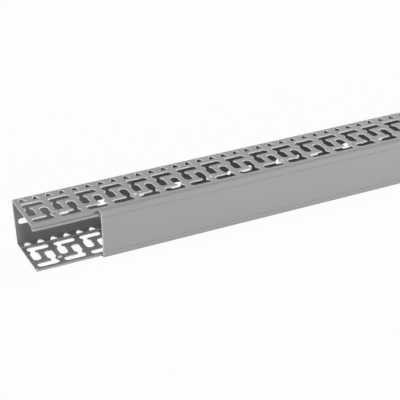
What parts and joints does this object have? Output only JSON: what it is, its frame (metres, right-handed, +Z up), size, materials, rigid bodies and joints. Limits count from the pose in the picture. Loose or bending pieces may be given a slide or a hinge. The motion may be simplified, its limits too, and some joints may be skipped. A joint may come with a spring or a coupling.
{
  "type": "slotted wiring trunking",
  "caption": "Grey slotted wiring trunking: a channel with T-slotted side walls, a base with screw slots and a clip-on cover that slides along the lips.",
  "frame": {"origin": "middle of the footprint of body and cover together, on the floor", "axes": "+X along the length towards the end where the cover stands out, +Z up, the cover faces -Y, the base's back faces +Y"},
  "size_m": [1.061, 0.065, 0.045],
  "materials": {
    "body": "satin extruded",
    "cover": "satin extruded"
  },
  "bodies": {
    "channel": {"body": "body"},
    "lid": {"cover": "cover"}
  },
  "joints": [
    {"name": "cover_slide", "type": "slide", "parent": "channel", "child": "lid", "axis": [1, 0, 0], "range_m": [-0.061, 0.239]}
  ]
}
